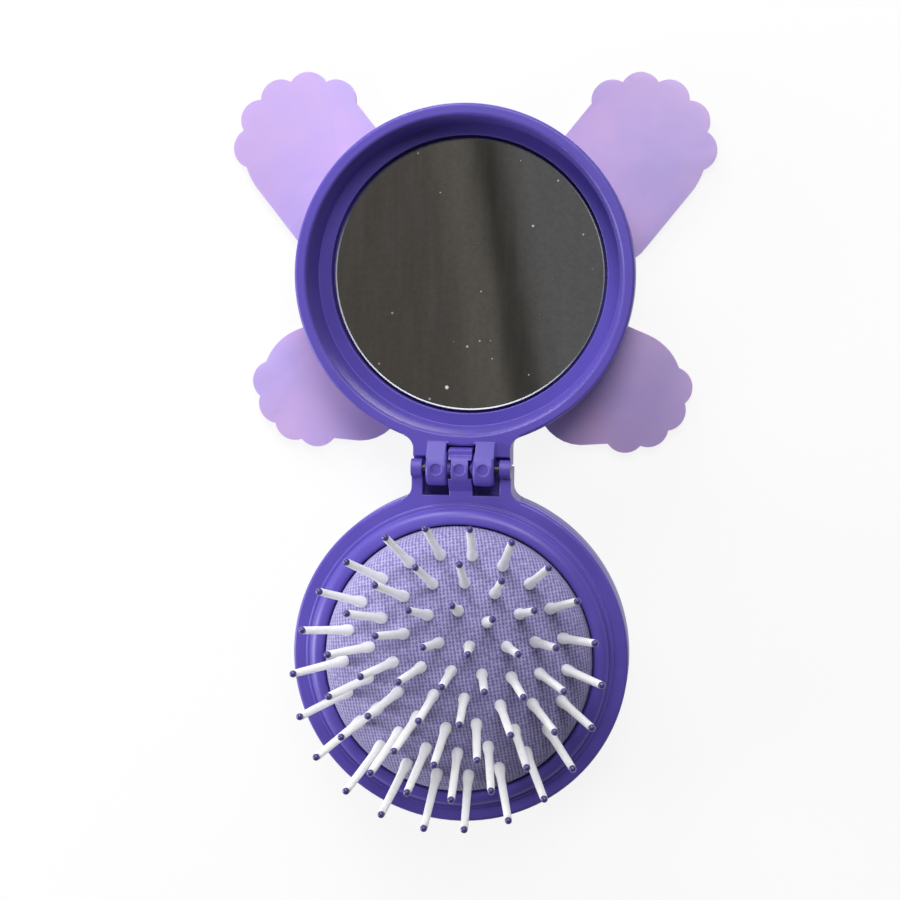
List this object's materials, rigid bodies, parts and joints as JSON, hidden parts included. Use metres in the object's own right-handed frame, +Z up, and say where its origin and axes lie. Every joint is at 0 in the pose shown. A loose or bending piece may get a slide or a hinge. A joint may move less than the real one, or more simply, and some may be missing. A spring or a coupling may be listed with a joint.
{
  "type": "folding hairbrush with mirror",
  "caption": "Pocket hairbrush that folds like a compact: domed pop-up cushion with ball-tipped pins, hinged to a deep round lid with a mirror inside and a soft butterfly charm on its back.",
  "frame": {"origin": "middle of the outline, on the surface that the open brush lies on", "axes": "+Y from the brush half to the mirror half, +Z up through bristles and mirror, +X along the hinge axis"},
  "size_m": [0.0992, 0.1518, 0.0477],
  "materials": {
    "violet_casing": "semi-gloss injection-moulded ABS, blue-violet",
    "lavender_rubber": "matt rubber with a fine woven print",
    "white_nylon": "satin warm white nylon",
    "plum_nylon": "glossy dark violet balls",
    "steel_pin": "drawn steel",
    "silvered_glass": "silvered float glass with a ground edge",
    "white_tape": "double-sided foam tape",
    "lavender_vinyl": "soft vinyl, satin",
    "purple_vinyl": "soft vinyl, satin",
    "pink_vinyl": "soft vinyl, satin",
    "cream_vinyl": "soft vinyl, satin",
    "navy_vinyl": "soft vinyl, satin"
  },
  "bodies": {
    "brush_half": {"brush_frame": "violet_casing", "back_cover": "violet_casing", "cushion_retainer": "violet_casing", "rubber_cushion": "lavender_rubber", "hinge_pin": "steel_pin"},
    "mirror_half": {"lid_shell": "violet_casing", "mirror_tape": "white_tape", "mirror_glass": "silvered_glass", "charm_tape": "white_tape", "charm_backing": "lavender_vinyl", "charm_upper_wings": "purple_vinyl", "charm_lower_wings": "pink_vinyl", "charm_spots": "cream_vinyl", "charm_body": "navy_vinyl", "charm_antennae": "navy_vinyl"},
    "cushion_centre": {"bristle_centre": "white_nylon", "ball_tip_centre": "plum_nylon", "thumb_button": "violet_casing"},
    "cushion_zone_1": {"bristle_ring_1": "white_nylon", "ball_tips_ring_1": "plum_nylon"},
    "cushion_zone_2": {"bristle_ring_2": "white_nylon", "ball_tips_ring_2": "plum_nylon"},
    "cushion_zone_3": {"bristle_ring_3": "white_nylon", "ball_tips_ring_3": "plum_nylon"},
    "cushion_zone_4": {"bristle_ring_4": "white_nylon", "ball_tips_ring_4": "plum_nylon"}
  },
  "joints": [
    {"name": "lid_hinge", "type": "hinge", "parent": "brush_half", "child": "mirror_half", "pos_m": [0, -0.00355, 0.0175], "axis": [1, 0, 0], "range_deg": [0, 180]},
    {"name": "press_centre", "type": "slide", "parent": "brush_half", "child": "cushion_centre", "axis": [0, 0, -1], "range_m": [0, 0.0194], "deforming": ["rubber_cushion"]},
    {"name": "press_zone_1", "type": "slide", "parent": "brush_half", "child": "cushion_zone_1", "axis": [0, 0, -1], "range_m": [0, 0.01895]},
    {"name": "press_zone_2", "type": "slide", "parent": "brush_half", "child": "cushion_zone_2", "axis": [0, 0, -1], "range_m": [0, 0.0177]},
    {"name": "press_zone_3", "type": "slide", "parent": "brush_half", "child": "cushion_zone_3", "axis": [0, 0, -1], "range_m": [0, 0.0158]},
    {"name": "press_zone_4", "type": "slide", "parent": "brush_half", "child": "cushion_zone_4", "axis": [0, 0, -1], "range_m": [0, 0.0133]}
  ],
  "couplings": [
    {"joint": "press_centre", "follows": "lid_hinge", "m_per_rad": 0.0061752},
    {"joint": "press_zone_1", "follows": "lid_hinge", "m_per_rad": 0.006032},
    {"joint": "press_zone_2", "follows": "lid_hinge", "m_per_rad": 0.0056341},
    {"joint": "press_zone_3", "follows": "lid_hinge", "m_per_rad": 0.0050293},
    {"joint": "press_zone_4", "follows": "lid_hinge", "m_per_rad": 0.0042335}
  ]
}
